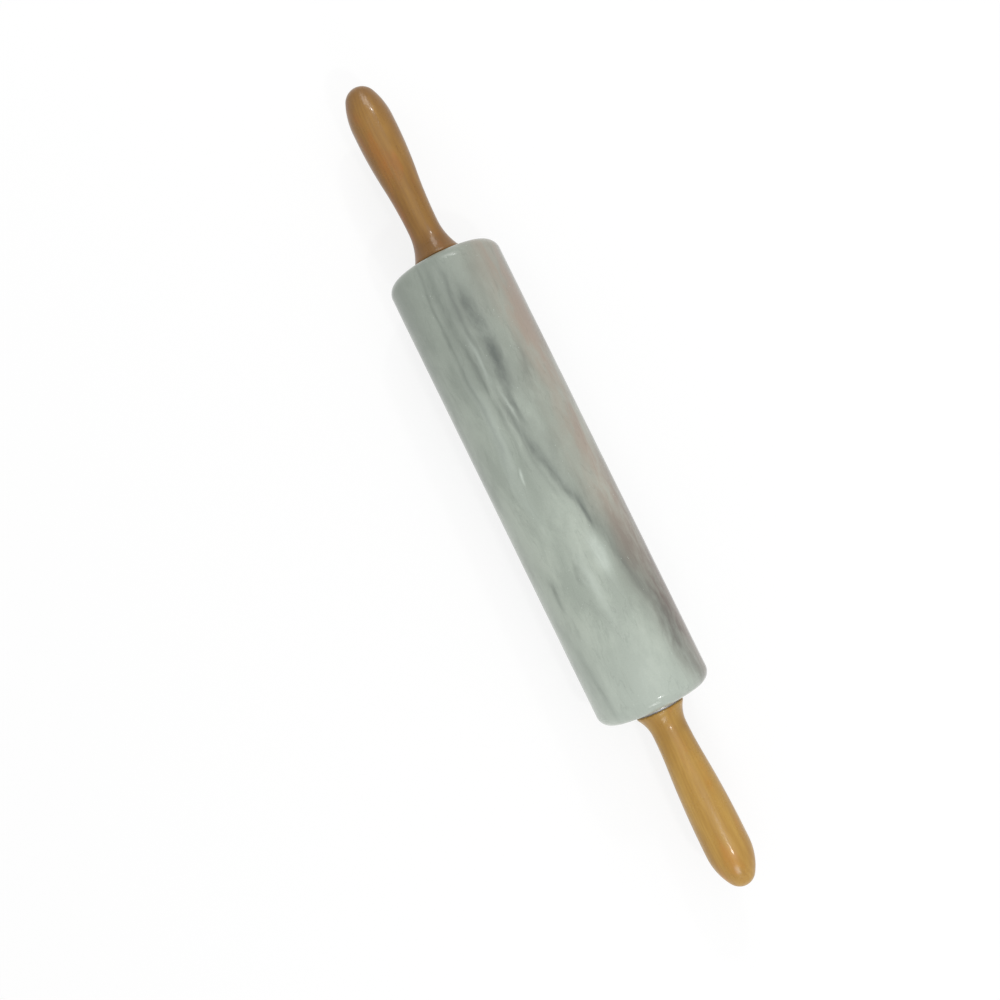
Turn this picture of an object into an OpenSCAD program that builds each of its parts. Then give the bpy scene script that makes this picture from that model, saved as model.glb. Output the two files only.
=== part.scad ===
// Marble rolling pin: a stone barrel that turns on a steel rod between two wooden handles.
// The long axis lies along X through the origin, and the origin is the middle of the barrel.

/* [Barrel] */
// Length of the marble barrel, face to face
barrel_len = 254; // [180:1:320]
// Diameter of the marble barrel
barrel_d = 62; // [50:0.5:80]
// Rounding of the barrel's two rims
rim_r = 7; // [2:0.5:10]
// Diameter of the hole drilled through the marble
bore_d = 16; // [14:0.5:20]
// Chamfer at the two mouths of the drilled hole
bore_chamfer = 0.5; // [0.2:0.1:1]

/* [Bushes] */
// Length of a bush inside the marble
bush_len = 25; // [12:1:50]
// Diameter of a bush's flange
flange_d = 25.5; // [22:0.5:32]
// Thickness of a bush's flange
flange_t = 1.5; // [1:0.1:3]
// Rounding of a flange's outer edge
flange_edge_r = 0.5; // [0.2:0.1:0.9]
// Chamfer at the inner end of a bush
bush_lead = 1; // [0.3:0.1:1.5]
// Glue gap around a bush, on the radius
glue_gap = 0.05; // [0.02:0.01:0.1]

/* [Axle rod] */
// Diameter of the rod where the barrel runs on it
rod_d = 8; // [7:0.5:10]
// Running clearance between the rod and a bush, on the radius
run_gap = 0.08; // [0.03:0.01:0.1]
// Free play between a bush's flange and the washer next to it
end_play = 0.3; // [0.2:0.1:0.8]
// Outer diameter of the rod's threaded ends
thread_d = 6; // [5:0.5:6.5]
// Length of each threaded end beyond the rod's shoulder
thread_len = 22; // [18:1:26]
// Length of the turned relief groove behind each shoulder
relief_len = 1.5; // [0.8:0.1:2.5]
// Depth of the relief groove below the thread, on the radius
relief_deep = 0.6; // [0.3:0.1:0.8]
// Chamfer at the rod's tips
rod_chamfer = 0.8; // [0.3:0.1:1.2]

/* [Washers] */
// Outer diameter of a washer
washer_d = 22; // [14:0.5:22]
// Thickness of a washer
washer_t = 1; // [0.8:0.1:2]
// Clearance between a washer's hole and the thread, on the radius
washer_gap = 0.2; // [0.1:0.05:0.3]

/* [Threaded inserts] */
// Length of an insert
insert_len = 15; // [10:1:16]
// Outer diameter of an insert's body
insert_d = 10; // [9:0.5:12]
// Diameter of an insert's collar
collar_d = 13; // [12:0.5:15]
// Thickness of an insert's collar
collar_t = 1.5; // [1:0.1:2.5]
// Width of the screwdriver slot across the collar
slot_w = 1.6; // [1:0.1:2]
// Depth of the screwdriver slot
slot_deep = 2; // [1:0.1:3]
// Clearance between the rod's thread and the insert, on the radius
thread_gap = 0.05; // [0.02:0.01:0.1]
// Clearance around an insert in the wood, on the radius
wood_gap = 0.05; // [0.02:0.01:0.1]

/* [Handles] */
// Length of a handle from its flat base to its tip
handle_len = 99.8; // [85:0.2:120]
// Diameter of a handle's flared base
base_d = 26; // [24:0.5:34]
// Height of the straight rim at the base
base_rim = 1; // [0.8:0.1:3]
// Chamfer of the base's edge
base_chamfer = 0.4; // [0.2:0.1:0.7]
// Length of the straight stretch at the thickest place
bulb_land = 4; // [2:0.5:10]
// Space between the tip of the rod and the bottom of its hole
hole_spare = 3; // [2:0.5:6]
// Clearance around the rod's tip in the wood, on the radius
tip_gap = 0.4; // [0.2:0.1:1]

/* [Left handle] */
// Diameter of the left handle's neck
left_neck_d = 16.8; // [16:0.1:20]
// Distance of the left neck from the base
left_neck_at = 18; // [10:0.5:24]
// Diameter of the left handle's bulb
left_bulb_d = 23.2; // [21:0.1:28]
// Length of the left handle's nose, from the end of the bulb to the tip
left_nose = 21.8; // [15:0.1:30]
// Share of the left swell that is hollow before it turns full
left_hollow = 0.5; // [0.2:0.05:0.8]
// Radius of the left handle's domed tip
left_tip_r = 8.8; // [4:0.1:9.6]

/* [Right handle] */
// Diameter of the right handle's neck
right_neck_d = 18.9; // [16:0.1:20]
// Distance of the right neck from the base
right_neck_at = 12; // [10:0.5:24]
// Diameter of the right handle's bulb
right_bulb_d = 24.1; // [21:0.1:28]
// Length of the right handle's nose, from the end of the bulb to the tip
right_nose = 21.2; // [15:0.1:30]
// Share of the right swell that is hollow before it turns full
right_hollow = 0.3; // [0.2:0.05:0.8]
// Radius of the right handle's domed tip
right_tip_r = 8.3; // [4:0.1:9.6]

/* [Hidden] */
$fn = 96;

// Half of the barrel's length, where its flat end faces lie
face_x = barrel_len / 2;
// Where the rod's shoulders lie, just outside the two flanges
shoulder_x = face_x + flange_t + end_play;
// Where the handles' flat bases lie, on the washers
base_x = shoulder_x + washer_t;
// Depth of a handle's blind hole, with room beyond the rod's tip
hole_deep = thread_len - washer_t + hole_spare;
// Half angle of a twist drill's point
drill_half_angle = 59;
// Overrun of the shapes that cut through a surface
cut = 1;
// Sides of the large circles that shape the handles' long curves
curve_sides = 1440;

// Turns a piece that was drawn along +Z so that it lies along +X
module along_x() {
    rotate([0, 90, 0]) children();
}

// Puts a piece of the right side on its own side: 1 is right, -1 is left
module on_side(side) {
    mirror([side < 0 ? 1 : 0, 0, 0]) children();
}

// A straight round tube from z = 0, outer and inner diameter
module tube(outer_d, inner_d, length) {
    difference() {
        cylinder(d = outer_d, h = length);
        translate([0, 0, -cut]) cylinder(d = inner_d, h = length + 2 * cut);
    }
}

// Half outline of one rounded end of the barrel: x is the radius, y runs in from the end face
module rim_outline() {
    inner = barrel_d / 2 - rim_r;
    square([inner, rim_r]);
    intersection() {
        translate([inner, rim_r]) circle(r = rim_r);
        translate([inner, -cut]) square([rim_r + cut, rim_r + cut]);
    }
}

// Half outline of the whole barrel, centred on its length
module barrel_outline() {
    translate([0, -face_x]) rim_outline();
    translate([0, rim_r - face_x]) square([barrel_d / 2, barrel_len - 2 * rim_r]);
    translate([0, face_x]) mirror([0, 1]) rim_outline();
}

// Polished stone cylinder with rounded rims and a drilled through bore
module marble_barrel() {
    color("#a9b2a8") along_x() difference() {
        rotate_extrude() barrel_outline();
        translate([0, 0, -face_x - cut]) cylinder(d = bore_d, h = barrel_len + 2 * cut);
        for (turn = [0, 180]) {
            rotate([turn, 0, 0]) translate([0, 0, face_x - bore_chamfer])
                cylinder(d1 = bore_d, d2 = bore_d + 4 * bore_chamfer, h = 2 * bore_chamfer);
        }
    }
}

// Half outline of a bush: y = 0 is the flange's seat on the marble, the body runs towards -y
module bush_outline() {
    inner_r = rod_d / 2 + run_gap;
    body_r = bore_d / 2 - glue_gap;
    flange_r = flange_d / 2;
    translate([inner_r, bush_lead - bush_len]) square([body_r - inner_r, bush_len - bush_lead]);
    polygon([[inner_r, -bush_len], [body_r - bush_lead / 2, -bush_len], [body_r, bush_lead - bush_len],
        [inner_r, bush_lead - bush_len]]);
    translate([inner_r, 0]) square([flange_r - flange_edge_r - inner_r, flange_t]);
    translate([flange_r - flange_edge_r, 0]) square([flange_edge_r, flange_t - flange_edge_r]);
    intersection() {
        translate([flange_r - flange_edge_r, flange_t - flange_edge_r]) circle(r = flange_edge_r);
        translate([flange_r - flange_edge_r, flange_t - flange_edge_r]) square(flange_edge_r + cut);
    }
}

// Flanged nylon bearing, glued into the marble, that turns on the rod
module bush(side) {
    color("ivory") on_side(side) along_x() translate([0, 0, face_x]) rotate_extrude() bush_outline();
}

module left_bush() {
    bush(-1);
}

module right_bush() {
    bush(1);
}

// Corners of one end of the rod, from its shoulder out to the tip: x is the radius, y the distance from the middle
function rod_end() = let (root_r = thread_d / 2 - relief_deep, tip_y = shoulder_x + thread_len) [
    [rod_d / 2, shoulder_x],
    [root_r, shoulder_x],
    [root_r, shoulder_x + relief_len - relief_deep],
    [thread_d / 2, shoulder_x + relief_len],
    [thread_d / 2, tip_y - rod_chamfer],
    [thread_d / 2 - rod_chamfer, tip_y],
    [0, tip_y]
];

// Steel rod: a plain journal between two shoulders, and a thinner threaded end beyond each
module axle_rod() {
    right = rod_end();
    left = [for (i = [len(right) - 1:-1:0]) [right[i][0], -right[i][1]]];
    color("silver") along_x() rotate_extrude() polygon(concat(right, left));
}

// Flat washer between the rod's shoulder and the handle
module washer(side) {
    color("lightsteelblue") on_side(side) along_x() translate([0, 0, shoulder_x])
        tube(washer_d, thread_d + 2 * washer_gap, washer_t);
}

module left_washer() {
    washer(-1);
}

module right_washer() {
    washer(1);
}

// Brass insert with a slotted collar, flush with the handle's base
module insert(side) {
    color("goldenrod") on_side(side) along_x() translate([0, 0, base_x]) difference() {
        union() {
            cylinder(d = collar_d, h = collar_t);
            cylinder(d = insert_d, h = insert_len);
        }
        translate([0, 0, -cut]) cylinder(d = thread_d + 2 * thread_gap, h = insert_len + 2 * cut);
        translate([-slot_w / 2, -collar_d, -cut]) cube([slot_w, 2 * collar_d, slot_deep + cut]);
    }
}

module left_insert() {
    insert(-1);
}

module right_insert() {
    insert(1);
}

// Half outline of a turned handle: x is the radius, y the distance from the flat base.
// Six stretches follow each other, each tangent to the next: the straight base rim, a hollow flare down
// to the neck, the hollow and the full part of the swell, the bulb, its shoulder, and the domed tip.
module handle_outline(neck_d, neck_at, bulb_d, nose, hollow, tip_r) {
    base_r = base_d / 2;
    neck_r = neck_d / 2;
    bulb_r = bulb_d / 2;
    // The nose starts where the straight stretch of the bulb ends
    nose_y = handle_len - nose;
    bulb_y = nose_y - bulb_land;
    rise = bulb_r - neck_r;
    run = bulb_y - neck_at;
    // Radius of the flare that leaves the base rim and meets the neck
    flare_r = ((base_r - neck_r) ^ 2 + (neck_at - base_rim) ^ 2) / (2 * (base_r - neck_r));
    // The two radii of the swell add up to this sum where they are tangent to each other
    swell_sum = (run ^ 2 + rise ^ 2) / (2 * rise);
    hollow_r = swell_sum * hollow;
    full_r = swell_sum - hollow_r;
    turn_y = neck_at + run * hollow;
    // Radius of the shoulder that leaves the bulb and meets the dome
    reach = nose - tip_r;
    shoulder_r = (reach ^ 2 + bulb_r ^ 2 - tip_r ^ 2) / (2 * (bulb_r - tip_r));
    dome_y = handle_len - tip_r + tip_r * reach / (shoulder_r - tip_r);

    difference() {
        polygon([[0, 0], [base_r - base_chamfer, 0], [base_r, base_chamfer], [base_r, neck_at], [0, neck_at]]);
        translate([neck_r + flare_r, neck_at]) circle(r = flare_r, $fn = curve_sides);
    }
    difference() {
        translate([0, neck_at]) square([bulb_r, turn_y - neck_at]);
        translate([neck_r + hollow_r, neck_at]) circle(r = hollow_r, $fn = curve_sides);
    }
    intersection() {
        translate([0, turn_y]) square([bulb_r + cut, bulb_y - turn_y]);
        translate([bulb_r - full_r, bulb_y]) circle(r = full_r, $fn = curve_sides);
    }
    translate([0, bulb_y]) square([bulb_r, bulb_land]);
    intersection() {
        translate([0, nose_y]) square([bulb_r + cut, dome_y - nose_y]);
        translate([bulb_r - shoulder_r, nose_y]) circle(r = shoulder_r, $fn = curve_sides);
    }
    intersection() {
        translate([0, dome_y]) square([bulb_r, handle_len - dome_y + cut]);
        translate([0, handle_len - tip_r]) circle(r = tip_r);
    }
}

// Blind hole of a handle: a recess for the collar, the insert's bore, and a drilled hole for the rod's tip
module handle_hole() {
    tip_hole_r = thread_d / 2 + tip_gap;
    translate([0, 0, -cut]) cylinder(r = collar_d / 2 + wood_gap, h = cut + collar_t);
    translate([0, 0, -cut]) cylinder(r = insert_d / 2 + wood_gap, h = cut + insert_len);
    translate([0, 0, -cut]) cylinder(r = tip_hole_r, h = cut + hole_deep);
    translate([0, 0, hole_deep]) cylinder(r1 = tip_hole_r, r2 = 0, h = tip_hole_r / tan(drill_half_angle));
}

// Wooden handle with a blind hole in its flat base
module handle(side, neck_d, neck_at, bulb_d, nose, hollow, tip_r) {
    color("#b5843f") on_side(side) along_x() translate([0, 0, base_x]) difference() {
        rotate_extrude() handle_outline(neck_d, neck_at, bulb_d, nose, hollow, tip_r);
        handle_hole();
    }
}

module left_handle() {
    handle(-1, left_neck_d, left_neck_at, left_bulb_d, left_nose, left_hollow, left_tip_r);
}

module right_handle() {
    handle(1, right_neck_d, right_neck_at, right_bulb_d, right_nose, right_hollow, right_tip_r);
}

marble_barrel();
left_bush();
right_bush();
axle_rod();
left_washer();
right_washer();
left_insert();
right_insert();
left_handle();
right_handle();
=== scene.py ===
# Marble rolling pin: a polished stone barrel that turns between two lacquered wooden handles.
import math

import bmesh
import bpy
from mathutils import Matrix, Vector


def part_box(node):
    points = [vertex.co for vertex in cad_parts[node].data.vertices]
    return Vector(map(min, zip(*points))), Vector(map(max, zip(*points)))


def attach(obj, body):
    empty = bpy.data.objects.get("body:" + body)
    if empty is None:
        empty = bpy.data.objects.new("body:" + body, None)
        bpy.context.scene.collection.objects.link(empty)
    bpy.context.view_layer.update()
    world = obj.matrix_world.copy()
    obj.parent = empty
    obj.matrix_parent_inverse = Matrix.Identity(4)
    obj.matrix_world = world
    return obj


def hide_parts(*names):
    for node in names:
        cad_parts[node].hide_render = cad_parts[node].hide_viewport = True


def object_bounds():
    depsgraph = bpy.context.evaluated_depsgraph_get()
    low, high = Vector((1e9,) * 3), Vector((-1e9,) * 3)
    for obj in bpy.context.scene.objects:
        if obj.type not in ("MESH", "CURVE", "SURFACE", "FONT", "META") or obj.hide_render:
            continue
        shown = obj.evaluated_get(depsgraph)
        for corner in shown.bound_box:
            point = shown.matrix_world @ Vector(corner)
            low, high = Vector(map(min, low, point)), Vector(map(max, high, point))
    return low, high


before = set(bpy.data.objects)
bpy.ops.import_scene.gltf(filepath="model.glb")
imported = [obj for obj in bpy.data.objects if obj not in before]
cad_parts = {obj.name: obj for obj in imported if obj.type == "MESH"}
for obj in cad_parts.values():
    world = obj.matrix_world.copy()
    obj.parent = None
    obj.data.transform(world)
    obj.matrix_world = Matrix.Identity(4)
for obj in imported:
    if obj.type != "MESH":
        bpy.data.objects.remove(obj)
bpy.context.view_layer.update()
mm = 0.001
print("frame loaded")


# colours are written as they show on screen, 0 to 255
def rgb(red, green, blue):
    def toLinear(level):
        level = level / 255
        return level / 12.92 if level <= 0.04045 else ((level + 0.055) / 1.055) ** 2.4
    return (toLinear(red), toLinear(green), toLinear(blue), 1.0)


black = rgb(0, 0, 0)
white = rgb(255, 255, 255)

# a thin layer over a node tree: it makes nodes, joins sockets and sets values
class Tree:
    def __init__(self, tree):
        self.nodes = tree.nodes
        self.links = tree.links

    def node(self, kind, **settings):
        made = self.nodes.new(kind)
        for name, value in settings.items():
            setattr(made, name, value)
        return made

    def put(self, socket, value):
        if isinstance(value, bpy.types.NodeSocket):
            self.links.new(value, socket)
        elif value is not None:
            socket.default_value = value

    def math(self, operation, a, b=None, c=None, clamp=False):
        made = self.node("ShaderNodeMath", operation=operation, use_clamp=clamp)
        for i, value in enumerate((a, b, c)):
            self.put(made.inputs[i], value)
        return made.outputs[0]

    def vector(self, operation, a, b):
        made = self.node("ShaderNodeVectorMath", operation=operation)
        self.put(made.inputs[0], a)
        self.put(made.inputs[1], b)
        return made.outputs[0]

    def split(self, vector):
        made = self.node("ShaderNodeSeparateXYZ")
        self.put(made.inputs[0], vector)
        return made.outputs

    # goes smoothly from toLow to toHigh while the value goes from low to high
    def ramp(self, value, low, high, toLow=0.0, toHigh=1.0):
        made = self.node("ShaderNodeMapRange", interpolation_type="SMOOTHSTEP")
        for i, setting in enumerate((value, low, high, toLow, toHigh)):
            self.put(made.inputs[i], setting)
        return made.outputs[0]

    def mix(self, share, a, b, blend="MIX"):
        made = self.node("ShaderNodeMix", data_type="RGBA", blend_type=blend)
        self.put(made.inputs["Factor"], share)
        self.put(made.inputs[6], a)
        self.put(made.inputs[7], b)
        return made.outputs[2]

    # the scale is one number, or one for each axis where the grains are longer one way
    def noise(self, position, scale, detail, rough=0.55, distortion=0.0, output="Fac"):
        if isinstance(scale, tuple):
            position = self.vector("MULTIPLY", position, scale)
            scale = 1.0
        made = self.node("ShaderNodeTexNoise")
        for name, value in (("Vector", position), ("Scale", scale), ("Detail", detail),
                            ("Roughness", rough), ("Distortion", distortion)):
            self.put(made.inputs[name], value)
        return made.outputs[output]

    def group(self, tree, **values):
        made = self.node("ShaderNodeGroup")
        made.node_tree = tree
        for name, value in values.items():
            self.put(made.inputs[name], value)
        return made.outputs


# every group reads a position in millimetres and some plain numbers, and puts out plain numbers
def newGroup(name, inputs, outputs):
    tree = bpy.data.node_groups.new(name, "ShaderNodeTree")
    tree.interface.new_socket("Position", in_out="INPUT", socket_type="NodeSocketVector")
    for label, value in inputs.items():
        socket = tree.interface.new_socket(label, in_out="INPUT", socket_type="NodeSocketFloat")
        socket.default_value = value
    for label in outputs:
        tree.interface.new_socket(label, in_out="OUTPUT", socket_type="NodeSocketFloat")
    t = Tree(tree)
    return tree, t, t.node("NodeGroupInput").outputs, t.node("NodeGroupOutput").inputs


# a streak's place along the axis and round it, its half length, half width, slope and strength
streakInputs = {"Along": 0.0, "Angle": 90.0, "Length": 30.0, "Width": 4.0, "Slope": 0.0, "Strength": 1.0}


# one streak in the stone's bedding: a soft layer that runs nearly along the axis, on one side
def makeStreakGroup():
    tree, t, into, out = newGroup("stoneStreak", streakInputs, ["Mask"])
    x, y, z = t.split(into["Position"])
    turn = t.math("RADIANS", into["Angle"])
    cosine = t.math("COSINE", turn)
    sine = t.math("SINE", turn)
    # height above the axis on the streak's own side, and distance sideways from its middle
    height = t.math("ADD", t.math("MULTIPLY", y, cosine), t.math("MULTIPLY", z, sine))
    side = t.math("SUBTRACT", t.math("MULTIPLY", z, cosine), t.math("MULTIPLY", y, sine))
    run = t.math("SUBTRACT", x, into["Along"])
    off = t.math("SUBTRACT", side, t.math("MULTIPLY", run, into["Slope"]))
    across = t.math("POWER", t.math("DIVIDE", off, into["Width"]), 2.0)
    ahead = t.math("POWER", t.math("ABSOLUTE", t.math("DIVIDE", run, into["Length"])), 3.0)
    fall = t.math("EXPONENT", t.math("MULTIPLY", t.math("ADD", across, ahead), -1.0))
    # it fades towards the axis, so that it never shows on the barrel's other side
    near = t.ramp(height, 2.0, 16.0)
    t.put(out["Mask"], t.math("MULTIPLY", t.math("MULTIPLY", fall, near), into["Strength"], clamp=True))
    return tree


# small uneven marks that handling leaves on any finish: broad dull patches with finer ones in them
def makeSmudgeGroup():
    inputs = {"Scale": 0.1, "Low": 0.1, "High": 0.3}
    tree, t, into, out = newGroup("smudge", inputs, ["Roughness", "Height"])
    broad = t.noise(into["Position"], into["Scale"], 3.0)
    fine = t.noise(into["Position"], t.math("MULTIPLY", into["Scale"], 14.0), 5.0, 0.7)
    both = t.math("ADD", t.math("MULTIPLY", broad, 0.7), t.math("MULTIPLY", fine, 0.3))
    t.put(out["Roughness"], t.ramp(both, 0.3, 0.7, into["Low"], into["High"]))
    t.put(out["Height"], fine)
    return tree


# the lengths are millimetres and the scales are grains per millimetre along X, Y and Z
grainValues = {
    "ringSpacing": 2.6, "ringTilt": 0.35, "bend": (0.012, 0.08, 0.08), "bendReach": 14.0,
    "pores": (0.06, 2.4, 2.4), "tone": (0.02, 0.11, 0.11),
}


# straight wood grain along X, with pores and slow changes of tone
def makeGrainGroup():
    tree, t, into, out = newGroup("woodGrain", {"Shift": 0.0}, ["Rings", "Pores", "Tone"])
    moved = t.vector("ADD", into["Position"], into["Shift"])
    bend = t.noise(moved, grainValues["bend"], 2.0)
    x, y, z = t.split(moved)
    # growth rings are nearly flat layers this far from the heart of the tree
    flat = t.math("ADD", y, t.math("MULTIPLY", z, grainValues["ringTilt"]))
    layer = t.math("ADD", flat, t.math("MULTIPLY", bend, grainValues["bendReach"]))
    turns = t.math("DIVIDE", t.math("MULTIPLY", layer, math.tau), grainValues["ringSpacing"])
    t.put(out["Rings"], t.math("MULTIPLY_ADD", t.math("SINE", turns), 0.5, 0.5))
    t.put(out["Pores"], t.ramp(t.noise(moved, grainValues["pores"], 4.0, 0.65), 0.5, 0.72))
    t.put(out["Tone"], t.noise(moved, grainValues["tone"], 3.0))
    return tree


streakGroup = makeStreakGroup()
smudgeGroup = makeSmudgeGroup()
grainGroup = makeGrainGroup()
print("node groups made")


# starts a material: its tree, its shader and the object's own coordinates in millimetres
def startMaterial(name):
    material = bpy.data.materials.new(name)
    material.use_nodes = True
    t = Tree(material.node_tree)
    shader = next(n for n in t.nodes if n.type == "BSDF_PRINCIPLED")
    coords = t.node("ShaderNodeTexCoord").outputs["Object"]
    return material, t, shader, t.vector("MULTIPLY", coords, (1 / mm, 1 / mm, 1 / mm))


# joins up what every finish has: a colour, uneven roughness, and bumps up to a tenth of a millimetre
def finishSurface(t, shader, color, roughness, height, bumpStrength):
    t.put(shader.inputs["Base Color"], color)
    t.put(shader.inputs["Roughness"], roughness)
    bump = t.node("ShaderNodeBump")
    bump.inputs["Strength"].default_value = bumpStrength
    bump.inputs["Distance"].default_value = 0.1 * mm
    t.put(bump.inputs["Height"], height)
    t.put(shader.inputs["Normal"], bump.outputs[0])


# stone: angles are degrees round the axis, 0 towards +Y and 90 on top; lengths are millimetres,
# and scales are grains per millimetre
stone = {
    "light": rgb(169, 177, 166),
    "grey": rgb(150, 158, 148),
    "dark": rgb(90, 96, 91),
    "shade": rgb(124, 131, 123),
    "pale": rgb(190, 199, 190),
    # the pink is partly the stone's tint and partly a painted reflection
    "pinkTintAndReflection": rgb(158, 136, 122),
    # the brown is partly the stone's tone and partly painted shade
    "brownToneAndShade": rgb(106, 92, 85),
    "clouds": (0.022, 0.045, 0.045), "cloudRange": (0.36, 0.64),
    "wisps": (0.045, 0.14, 0.14), "wispRange": (0.5, 0.74), "wispDepth": 0.32,
    "hairs": (0.016, 0.11, 0.11), "hairWidth": 0.01, "hairDepth": 0.12,
    "crystals": 0.55, "speckRange": (0.16, 0.08), "speckDepth": 0.5,
    "speckPatches": 0.16, "patchRange": (0.62, 0.66),
    "sugar": 1.6, "sugarDepth": 0.1,
    "wander": (0.022, 0.06, 0.06), "wanderReach": (26.0, 13.0, 13.0),
    "leftFade": (0.0, -110.0), "leftDepth": 0.5, "rightFade": (60.0, 125.0), "rightDepth": 0.35,
    "smudges": 0.045, "roughness": (0.12, 0.24), "bump": 0.12, "shine": 0.3,
    # along, angle, half length, half width, slope, strength
    "darkStreaks": [
        (-90, 85, 17, 2.4, 0.00, 0.95),
        (-66, 86, 18, 2.6, 0.00, 1.00),
        (-44, 88, 15, 1.8, -0.03, 0.65),
        (-88, 97, 34, 1.6, 0.02, 0.45),
        (-72, 119, 62, 0.9, 0.01, 0.50),
        (-62, 108, 50, 1.4, -0.02, 0.40),
        (-35, 96, 36, 1.6, -0.06, 0.45),
        (-4, 85, 22, 2.0, -0.17, 0.85),
        (22, 74, 14, 2.4, -0.12, 0.80),
        (50, 61, 30, 4.0, -0.20, 0.50),
        (86, 46, 34, 5.0, -0.16, 0.50),
        (56, 139, 9, 2.2, 0.05, 0.45),
        (46, 107, 6, 1.2, 0.05, 0.30),
        (104, 141, 16, 2.5, -0.08, 0.30),
        (-60, 62, 12, 4.0, 0.10, 0.35),
        (-30, 245, 60, 3.0, 0.07, 0.55),
        (40, 262, 48, 2.2, -0.09, 0.60),
        (-70, 300, 40, 4.0, 0.03, 0.50),
        (75, 318, 36, 2.6, -0.12, 0.45),
        (5, 205, 70, 2.0, 0.05, 0.50),
        (-95, 215, 24, 4.5, 0.00, 0.40)],
    "greyBands": [
        (-80, 98, 62, 14, -0.02, 0.85),
        (-10, 76, 60, 7, -0.14, 0.45),
        (70, 52, 60, 8, -0.16, 0.45),
        (0, 255, 110, 12, 0.04, 0.60),
        (-60, 320, 60, 10, 0.02, 0.50)],
    "paleStreaks": [
        # painted highlights: the first two rows are the pale patch and short streak where a lamp's
        # reflection lay on the polish
        (43, 80, 10, 3.4, -0.05, 1.00),
        (-7, 111, 4, 0.8, 0.10, 0.90),
        (60, 98, 18, 2.0, -0.05, 0.40),
        (-66, 100, 12, 1.4, -0.04, 0.35),
        (-41, 92, 10, 0.9, -0.05, 0.35),
        (-20, 118, 40, 3.0, 0.00, 0.35),
        (10, 230, 30, 3.5, 0.05, 0.50),
        (-50, 275, 26, 2.4, -0.04, 0.50),
        (90, 235, 22, 4.0, 0.02, 0.45)],
    # painted reflection: these warm bands on the +Y flank are partly the stone's own staining and partly
    # a reflection of warm surroundings
    "pinkBandsAndPaintedReflection": [
        (-80, 36, 64, 13, -0.02, 0.70),
        (10, 36, 64, 12, -0.03, 0.70),
        (85, 22, 50, 7, 0.00, 0.45)],
    # painted shade: these darker brown bands along the +Y flank are partly the stone's own colour and
    # partly shade on the side turned away from the light
    "brownBandsAndPaintedShade": [
        (78, 36, 44, 9, -0.06, 0.95),
        (-60, 12, 80, 6, 0.00, 0.45),
        (70, 14, 70, 10, 0.00, 0.90)],
}


# the strongest of a list of streaks, wherever they overlap
def joinStreaks(t, bedding, rows):
    total = None
    for row in rows:
        values = {label: float(value) for label, value in zip(streakInputs, row)}
        mask = t.group(streakGroup, Position=bedding, **values)["Mask"]
        total = mask if total is None else t.math("MAXIMUM", total, mask)
    return total


def makeMarble():
    material, t, shader, position = startMaterial("polishedMarble")
    # the bedding wanders: every streak is read at a place pushed about by noise
    wander = t.noise(position, stone["wander"], 5.0, 0.5, output="Color")
    centred = t.vector("SUBTRACT", wander, (0.5, 0.5, 0.5))
    bedding = t.vector("ADD", position, t.vector("MULTIPLY", centred, stone["wanderReach"]))
    clouds = t.noise(bedding, stone["clouds"], 6.0, 0.6)
    wisps = t.noise(bedding, stone["wisps"], 7.0, 0.6)
    color = t.mix(t.ramp(clouds, *stone["cloudRange"]), stone["grey"], stone["light"])
    wispShare = t.math("MULTIPLY", t.ramp(wisps, *stone["wispRange"]), stone["wispDepth"])
    color = t.mix(wispShare, color, stone["shade"])
    # the left half gets slowly deeper, and the right end paler
    along = t.split(position)[0]
    leftShare = t.ramp(along, *stone["leftFade"], 0.0, stone["leftDepth"])
    color = t.mix(leftShare, color, stone["shade"])
    rightShare = t.ramp(along, *stone["rightFade"], 0.0, stone["rightDepth"])
    color = t.mix(rightShare, color, stone["pale"])
    # the wisps break up the streaks
    broken = t.ramp(wisps, 0.3, 0.62, 0.45, 1.0)
    for rows, tint in (("greyBands", "shade"), ("pinkBandsAndPaintedReflection", "pinkTintAndReflection"), ("brownBandsAndPaintedShade", "brownToneAndShade"),
                       ("darkStreaks", "dark"), ("paleStreaks", "pale")):
        mask = t.math("MULTIPLY", joinStreaks(t, bedding, stone[rows]), broken)
        color = t.mix(mask, color, stone[tint])
    # hairline veins lie where a smooth noise passes its middle
    hairs = t.noise(bedding, stone["hairs"], 3.0, 0.5, 0.2)
    distance = t.math("ABSOLUTE", t.math("SUBTRACT", hairs, 0.5))
    hairShare = t.ramp(distance, 0.0, stone["hairWidth"], stone["hairDepth"], 0.0)
    color = t.mix(hairShare, color, stone["dark"])
    # sugary crystals, a few of them white
    crystals = t.node("ShaderNodeTexVoronoi")
    t.put(crystals.inputs["Vector"], position)
    t.put(crystals.inputs["Scale"], stone["crystals"])
    fromMiddle = crystals.outputs["Distance"]
    patches = t.ramp(t.noise(position, stone["speckPatches"], 1.0), *stone["patchRange"])
    speck = t.math("MULTIPLY", t.ramp(fromMiddle, *stone["speckRange"]), patches)
    color = t.mix(t.math("MULTIPLY", speck, stone["speckDepth"]), color, stone["pale"])
    sugar = t.noise(position, stone["sugar"], 3.0, 0.7)
    color = t.mix(stone["sugarDepth"], color, t.mix(sugar, black, white), "OVERLAY")
    low, high = stone["roughness"]
    smudge = t.group(smudgeGroup, Position=position, Scale=stone["smudges"], Low=low, High=high)
    pits = t.math("MULTIPLY", t.ramp(fromMiddle, 0.0, 0.1), 0.4)
    height = t.math("ADD", pits, smudge["Height"])
    finishSurface(t, shader, color, smudge["Roughness"], height, stone["bump"])
    shader.inputs["Specular IOR Level"].default_value = stone["shine"]
    return material


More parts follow.
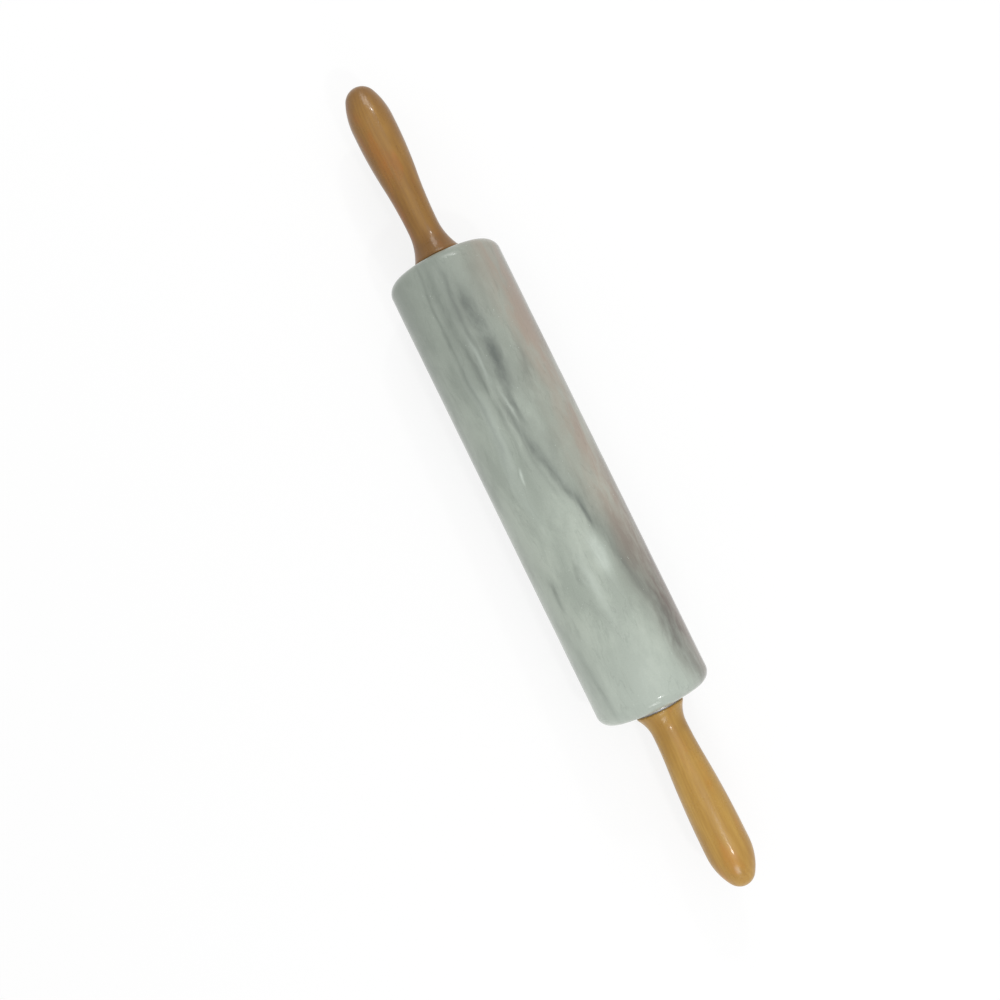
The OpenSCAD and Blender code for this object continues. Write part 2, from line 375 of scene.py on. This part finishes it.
# the shift moves each handle to its own piece of the tree
woods = {
    # painted shade: the left handle's colours are darker versions of the right's, as that handle stood
    # farther from the light
    "left": {"body": rgb(140, 100, 40), "deep": rgb(109, 73, 28), "bright": rgb(159, 121, 57),
             "glow": rgb(156, 90, 29), "shift": 11.0, "paintedBaseShade": 0.55, "tipDarkening": 0.5},
    "right": {"body": rgb(173, 134, 60), "deep": rgb(142, 101, 38), "bright": rgb(191, 154, 80),
              "glow": rgb(176, 114, 36), "shift": 47.0, "paintedBaseShade": 0.1, "tipDarkening": 0.0},
    "evenness": 0.62, "ringDepth": 0.22, "poreDepth": 0.35,
    "glowPatches": (0.03, 0.09, 0.09), "glowDepth": 0.55,
    # distances from the pin's middle where the painted shade by the barrel ends and the darkening
    # towards the tip begins, in mm
    "paintedBaseShadeFrom": 136.0, "paintedBaseShadeTo": 148.0, "tipDarkeningFrom": 208.0, "tipDarkeningTo": 228.0,
    "smudges": 0.08, "roughness": (0.22, 0.40), "bump": 0.16, "shine": 0.3,
    "lacquer": 0.2, "lacquerRoughness": 0.12,
}


def makeWood(side):
    wood = woods[side]
    material, t, shader, position = startMaterial(side + "HandleWood")
    grain = t.group(grainGroup, Position=position, Shift=wood["shift"])
    color = t.mix(t.ramp(grain["Tone"], 0.3, 0.7), wood["deep"], wood["bright"])
    color = t.mix(woods["evenness"], color, wood["body"])
    color = t.mix(t.math("MULTIPLY", grain["Rings"], woods["ringDepth"]), color, wood["deep"])
    color = t.mix(t.math("MULTIPLY", grain["Pores"], woods["poreDepth"]), color, wood["deep"])
    warm = t.noise(position, woods["glowPatches"], 3.0)
    color = t.mix(t.ramp(warm, 0.5, 0.75, 0.0, woods["glowDepth"]), color, wood["glow"])
    # painted shade darkens the wood next to the barrel, where the joint lies in shadow, and the wood
    # gets darker towards its tip
    along = t.math("ABSOLUTE", t.split(position)[0])
    paintedBaseShade = t.ramp(along, woods["paintedBaseShadeFrom"], woods["paintedBaseShadeTo"], wood["paintedBaseShade"], 0.0)
    tipDarkening = t.ramp(along, woods["tipDarkeningFrom"], woods["tipDarkeningTo"], 0.0, wood["tipDarkening"])
    color = t.mix(t.math("ADD", paintedBaseShade, tipDarkening), color, wood["deep"])
    low, high = woods["roughness"]
    smudge = t.group(smudgeGroup, Position=position, Scale=woods["smudges"], Low=low, High=high)
    height = t.math("SUBTRACT", t.math("MULTIPLY", smudge["Height"], 0.4), grain["Pores"])
    finishSurface(t, shader, color, smudge["Roughness"], height, woods["bump"])
    shader.inputs["Specular IOR Level"].default_value = woods["shine"]
    shader.inputs["Coat Weight"].default_value = woods["lacquer"]
    shader.inputs["Coat Roughness"].default_value = woods["lacquerRoughness"]
    return material


nylonValues = {
    "light": rgb(240, 236, 224), "dark": rgb(226, 221, 204), "clouds": 0.12,
    "smudges": 0.2, "roughness": (0.38, 0.55), "bump": 0.1,
}


def makeNylon():
    material, t, shader, position = startMaterial("mouldedNylon")
    clouds = t.noise(position, nylonValues["clouds"], 3.0)
    color = t.mix(t.ramp(clouds, 0.3, 0.7), nylonValues["dark"], nylonValues["light"])
    low, high = nylonValues["roughness"]
    smudge = t.group(smudgeGroup, Position=position, Scale=nylonValues["smudges"], Low=low, High=high)
    finishSurface(t, shader, color, smudge["Roughness"], smudge["Height"], nylonValues["bump"])
    return material


metals = {
    "steel": {"light": rgb(196, 197, 200), "dark": rgb(150, 152, 156), "roughness": (0.24, 0.40)},
    "brass": {"light": rgb(214, 178, 104), "dark": rgb(168, 130, 66), "roughness": (0.22, 0.38)},
    "latheMarks": (9.0, 0.15, 0.15), "stains": 0.18, "stainDepth": 0.4, "smudges": 0.15, "bump": 0.12,
}


# turned metal: fine rings round the X axis
def makeTurnedMetal(name, metal):
    material, t, shader, position = startMaterial(name)
    marks = t.noise(position, metals["latheMarks"], 3.0, 0.6)
    stains = t.noise(position, metals["stains"], 4.0)
    color = t.mix(t.ramp(marks, 0.3, 0.7), metal["dark"], metal["light"])
    color = t.mix(t.ramp(stains, 0.5, 0.8, 0.0, metals["stainDepth"]), color, metal["dark"])
    low, high = metal["roughness"]
    smudge = t.group(smudgeGroup, Position=position, Scale=metals["smudges"], Low=low, High=high)
    finishSurface(t, shader, color, smudge["Roughness"], marks, metals["bump"])
    shader.inputs["Metallic"].default_value = 1.0
    return material


marble = makeMarble()
# the left wood's darker colours are painted shade
leftWoodInPaintedShade = makeWood("left")
rightWood = makeWood("right")
nylon = makeNylon()
steel = makeTurnedMetal("turnedSteel", metals["steel"])
brass = makeTurnedMetal("turnedBrass", metals["brass"])
print("materials made")


# points nearer than this become one, and edges that turn by more than sharpAngle stay sharp
turning = {"merge": 0.002 * mm, "smallestEdge": 0.001 * mm, "sharpAngle": math.radians(35)}


# Geometry Nodes tree that turns a row of outline points round the X axis: x is the place along it
# and y the radius
def makeTurningTree():
    tree = bpy.data.node_groups.new("turnedPiece", "GeometryNodeTree")
    for label, kind in (("Outline", "NodeSocketGeometry"), ("Rings", "NodeSocketInt"),
                        ("Segments", "NodeSocketInt"), ("Material", "NodeSocketMaterial")):
        tree.interface.new_socket(label, in_out="INPUT", socket_type=kind)
    tree.interface.new_socket("Geometry", in_out="OUTPUT", socket_type="NodeSocketGeometry")
    t = Tree(tree)
    into = t.node("NodeGroupInput").outputs
    out = t.node("NodeGroupOutput").inputs
    # a flat sheet, one row of points for each outline point, is rolled up into the turned piece
    sheet = t.node("GeometryNodeMeshGrid")
    t.put(sheet.inputs["Size X"], 1.0)
    t.put(sheet.inputs["Size Y"], 1.0)
    t.put(sheet.inputs["Vertices X"], into["Rings"])
    t.put(sheet.inputs["Vertices Y"], t.math("ADD", into["Segments"], 1.0))
    position = t.node("GeometryNodeInputPosition").outputs[0]
    place = t.split(position)
    ring = t.math("MULTIPLY", t.math("ADD", place[0], 0.5), t.math("SUBTRACT", into["Rings"], 1.0))
    turn = t.math("MULTIPLY", t.math("ADD", place[1], 0.5), math.tau)
    sample = t.node("GeometryNodeSampleIndex", data_type="FLOAT_VECTOR")
    t.put(sample.inputs["Geometry"], into["Outline"])
    t.put(sample.inputs["Value"], position)
    t.put(sample.inputs["Index"], t.math("ROUND", ring))
    point = t.split(sample.outputs[0])
    rolled = t.node("ShaderNodeCombineXYZ")
    t.put(rolled.inputs[0], point[0])
    t.put(rolled.inputs[1], t.math("MULTIPLY", point[1], t.math("COSINE", turn)))
    t.put(rolled.inputs[2], t.math("MULTIPLY", point[1], t.math("SINE", turn)))
    move = t.node("GeometryNodeSetPosition")
    t.put(move.inputs["Geometry"], sheet.outputs["Mesh"])
    t.put(move.inputs["Position"], rolled.outputs[0])
    # the sheet's two edges and the points on the axis are merged, so that the piece is closed
    merge = t.node("GeometryNodeMergeByDistance")
    t.put(merge.inputs["Geometry"], move.outputs[0])
    t.put(merge.inputs["Distance"], turning["merge"])
    real = t.node("GeometryNodeRealizeInstances")
    t.put(real.inputs[0], merge.outputs[0])
    paint = t.node("GeometryNodeSetMaterial")
    t.put(paint.inputs["Geometry"], real.outputs[0])
    t.put(paint.inputs["Material"], into["Material"])
    t.put(out["Geometry"], paint.outputs[0])
    return tree


turningTree = makeTurningTree()


def turnPiece(name, points, segments, material, body, node):
    outline = bpy.data.meshes.new(name + "Outline")
    outline.from_pydata([(x * mm, radius * mm, 0.0) for x, radius in points], [], [])
    maker = bpy.data.objects.new(name + "Maker", outline)
    bpy.context.scene.collection.objects.link(maker)
    modifier = maker.modifiers.new("turn", "NODES")
    modifier.node_group = turningTree
    sockets = {s.name: s.identifier for s in turningTree.interface.items_tree if s.in_out == "INPUT"}
    modifier[sockets["Rings"]] = len(points)
    modifier[sockets["Segments"]] = segments
    modifier[sockets["Material"]] = material
    view = bpy.context.evaluated_depsgraph_get()
    mesh = bpy.data.meshes.new_from_object(maker.evaluated_get(view), depsgraph=view)
    maker.modifiers.remove(modifier)
    bpy.data.objects.remove(maker)
    work = bmesh.new()
    work.from_mesh(mesh)
    bmesh.ops.dissolve_degenerate(work, dist=turning["smallestEdge"], edges=work.edges)
    bmesh.ops.recalc_face_normals(work, faces=work.faces)
    for face in work.faces:
        face.smooth = True
    for edge in work.edges:
        edge.smooth = edge.calc_face_angle(0.0) < turning["sharpAngle"]
    work.to_mesh(mesh)
    work.free()
    piece = bpy.data.objects.new(name, mesh)
    bpy.context.scene.collection.objects.link(piece)
    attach(piece, body)
    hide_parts(node)


# points of an arc round (x, radius), from one angle to another in degrees
def arc(x, radius, arcRadius, start, end, steps):
    angles = [math.radians(start + (end - start) * i / steps) for i in range(steps + 1)]
    return [(x + arcRadius * math.cos(a), radius + arcRadius * math.sin(a)) for a in angles]


# barrel: sizes in mm; its length and diameter come from the frame
barrel = {
    "rim": 7.0, "rimSteps": 24, "boreRadius": 8.0, "boreChamfer": 0.5,
    "rings": (-80.0, -40.0, 0.0, 40.0, 80.0), "segments": 240,
}


def makeBarrel():
    low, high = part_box("marble_barrel")
    face = high.x / mm
    outer = high.z / mm
    rim = barrel["rim"]
    boreRadius = barrel["boreRadius"]
    chamfer = barrel["boreChamfer"]
    right = arc(face - rim, outer - rim, rim, 90, 0, barrel["rimSteps"])
    right += [(face, boreRadius + chamfer), (face - chamfer, boreRadius)]
    left = [(-x, radius) for x, radius in reversed(right)]
    points = left + [(x, outer) for x in barrel["rings"]] + right
    # back to the first point, along the bore
    points.append(points[0])
    turnPiece("marbleBarrel", points, barrel["segments"], marble, "barrel", "marble_barrel")


makeBarrel()
print("barrel made")

# handles: sizes in mm; a hollow is the share of the swell that curves inwards
handles = {
    "left": {"neckD": 16.8, "neckAt": 18.0, "bulbD": 23.2, "nose": 21.8, "hollow": 0.5, "tipR": 9.0},
    "right": {"neckD": 18.9, "neckAt": 12.0, "bulbD": 24.1, "nose": 21.2, "hollow": 0.3, "tipR": 8.3},
    "rim": 1.0, "chamfer": 0.4, "land": 4.0,
    # radius and depth of the pocket for the insert's collar, of the insert's hole and of the hole
    # for the rod's tip
    "collar": (6.55, 1.5), "insert": (5.05, 15.0), "tipHole": (3.4, 24.0), "drillPoint": 2.04,
    "steps": 90, "domeSteps": 14, "segments": 160,
}


# radius of the wood at a distance from the base, over the flare, hollow, full swell, bulb and shoulder,
# and the place where the domed tip begins
def handleRadius(h, length, baseR):
    neckR = h["neckD"] / 2
    bulbR = h["bulbD"] / 2
    neckX = h["neckAt"]
    tipR = h["tipR"]
    noseX = length - h["nose"]
    bulbX = noseX - handles["land"]
    rise = bulbR - neckR
    run = bulbX - neckX
    flareR = ((baseR - neckR) ** 2 + (neckX - handles["rim"]) ** 2) / (2 * (baseR - neckR))
    swell = (run ** 2 + rise ** 2) / (2 * rise)
    hollowR = swell * h["hollow"]
    fullR = swell - hollowR
    turnX = neckX + run * h["hollow"]
    reach = h["nose"] - tipR
    shoulderR = (reach ** 2 + bulbR ** 2 - tipR ** 2) / (2 * (bulbR - tipR))
    domeX = length - tipR + tipR * reach / (shoulderR - tipR)

    def radius(x):
        if x <= neckX:
            return neckR + flareR - math.sqrt(flareR ** 2 - (neckX - x) ** 2)
        if x <= turnX:
            return neckR + hollowR - math.sqrt(hollowR ** 2 - (x - neckX) ** 2)
        if x <= bulbX:
            return bulbR - fullR + math.sqrt(fullR ** 2 - (bulbX - x) ** 2)
        if x <= noseX:
            return bulbR
        return bulbR - shoulderR + math.sqrt(shoulderR ** 2 - (x - noseX) ** 2)

    return radius, domeX


# outline of a handle from the hole's bottom, over the flat base, along the wood to the tip
def handlePoints(side, length, baseR):
    tipR = handles[side]["tipR"]
    collarR, collarX = handles["collar"]
    insertR, insertX = handles["insert"]
    holeR, holeX = handles["tipHole"]
    chamfer = handles["chamfer"]
    radius, domeX = handleRadius(handles[side], length, baseR)
    points = [(holeX + handles["drillPoint"], 0.0), (holeX, holeR), (insertX, holeR),
              (insertX, insertR), (collarX, insertR), (collarX, collarR),
              (0.0, collarR), (0.0, baseR - chamfer), (chamfer, baseR)]
    steps = handles["steps"]
    for i in range(steps + 1):
        x = handles["rim"] + (domeX - handles["rim"]) * i / steps
        points.append((x, radius(x)))
    domeStart = math.degrees(math.acos((domeX - length + tipR) / tipR))
    points += arc(length - tipR, 0.0, tipR, domeStart, 0, handles["domeSteps"])[1:-1]
    points.append((length, 0.0))
    return points


def makeHandle(side, sign, material):
    node = side + "_handle"
    low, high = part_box(node)
    base = min(abs(low.x), abs(high.x)) / mm
    length = (high.x - low.x) / mm
    points = [(sign * (base + x), radius) for x, radius in handlePoints(side, length, high.z / mm)]
    turnPiece(side + "Handle", points, handles["segments"], material, "handles", node)


makeHandle("left", -1, leftWoodInPaintedShade)
makeHandle("right", 1, rightWood)
print("handles made")

# the bushes, rod, washers and inserts keep their CAD shape
for material, names in ((nylon, ("left_bush", "right_bush")),
                        (steel, ("axle_rod", "left_washer", "right_washer")),
                        (brass, ("left_insert", "right_insert"))):
    for name in names:
        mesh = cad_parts[name].data
        mesh.materials.clear()
        mesh.materials.append(material)
print("bushes, rod, washers and inserts dressed")

# floor and sky: whiten is the share of plain white in the floor where it is seen
studio = {"floorSize": 6.0, "floorTone": 0.86, "floorGap": 0.2 * mm, "whiten": 0.8, "skyLight": 0.62}


# 1 where the camera, a mirror or a clear thing sees the surface, 0 where it only gives light
def isSeen(t):
    rays = t.node("ShaderNodeLightPath").outputs
    mirrored = t.math("MAXIMUM", rays["Is Glossy Ray"], rays["Is Transmission Ray"])
    return t.math("MAXIMUM", rays["Is Camera Ray"], mirrored)


# the floor looks white, and still takes the pin's shadow
def makeFloor():
    low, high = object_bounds()
    half = studio["floorSize"] / 2
    z = low.z - studio["floorGap"]
    corners = [(-half, -half, z), (half, -half, z), (half, half, z), (-half, half, z)]
    mesh = bpy.data.meshes.new("floor")
    mesh.from_pydata(corners, [], [(0, 1, 2, 3)])
    floor = bpy.data.objects.new("floor", mesh)
    bpy.context.scene.collection.objects.link(floor)
    material, t, shader, position = startMaterial("paleFloor")
    output = next(n for n in t.nodes if n.type == "OUTPUT_MATERIAL")
    tone = studio["floorTone"]
    shader.inputs["Base Color"].default_value = (tone, tone, tone, 1.0)
    shader.inputs["Roughness"].default_value = 0.9
    blend = t.node("ShaderNodeMixShader")
    t.put(blend.inputs[0], t.math("MULTIPLY", isSeen(t), studio["whiten"]))
    t.put(blend.inputs[1], shader.outputs[0])
    t.put(blend.inputs[2], t.node("ShaderNodeEmission").outputs[0])
    t.put(output.inputs["Surface"], blend.outputs[0])
    mesh.materials.append(material)


# the sky is plain white where it is seen, and lights the pin a little less than that
def makeSky():
    world = bpy.data.worlds.new("studio")
    bpy.context.scene.world = world
    world.use_nodes = True
    t = Tree(world.node_tree)
    sky = next(n for n in t.nodes if n.type == "BACKGROUND")
    sky.inputs["Color"].default_value = (1.0, 1.0, 1.0, 1.0)
    light = studio["skyLight"]
    t.put(sky.inputs["Strength"], t.math("MULTIPLY_ADD", isSeen(t), 1.0 - light, light))


makeFloor()
makeSky()

# square lamps that face the pin's middle: place and size in metres, power in watts
lamps = {
    "overhead": {"at": (0.0, 0.1, 2.2), "size": 2.6, "power": 13.0},
    "lampRight": {"at": (0.50, 0.12, 0.95), "size": 0.07, "power": 2.0},
    "lampLeft": {"at": (-0.75, 0.45, 0.80), "size": 0.07, "power": 1.6},
    "lowLeft": {"at": (-0.95, 0.25, 0.62), "size": 0.35, "power": 2.2},
    "lowRight": {"at": (0.95, -0.10, 0.60), "size": 0.30, "power": 1.8},
}
for name, lamp in lamps.items():
    light = bpy.data.lights.new(name, "AREA")
    light.size = lamp["size"]
    light.energy = lamp["power"]
    holder = bpy.data.objects.new(name, light)
    bpy.context.scene.collection.objects.link(holder)
    holder.location = lamp["at"]
    holder.rotation_euler = Vector(lamp["at"]).to_track_quat("Z", "Y").to_euler()
print("floor, sky and lamps made")

# camera: nearly straight above, turned so that the pin runs from upper left to lower right;
# its place is in metres, right and up are directions, lens and sensor are mm
cameraValues = {
    "place": (0.02653, -0.04060, 0.69763),
    "right": (0.43918, 0.89840, 0.0),
    "up": (-0.89746, 0.43872, 0.04574),
    "lens": 48.6, "sensor": 36.0, "clipStart": 0.01,
}


def makeCamera():
    camera = bpy.data.cameras.new("camera")
    camera.sensor_width = cameraValues["sensor"]
    camera.lens = cameraValues["lens"]
    camera.clip_start = cameraValues["clipStart"]
    holder = bpy.data.objects.new("camera", camera)
    bpy.context.scene.collection.objects.link(holder)
    right = Vector(cameraValues["right"]).normalized()
    back = right.cross(Vector(cameraValues["up"])).normalized()
    up = back.cross(right)
    turned = Matrix((right, up, back)).transposed().to_4x4()
    holder.matrix_world = Matrix.Translation(cameraValues["place"]) @ turned
    bpy.context.scene.camera = holder


makeCamera()
bpy.context.scene.view_settings.view_transform = "Standard"
print("camera made")
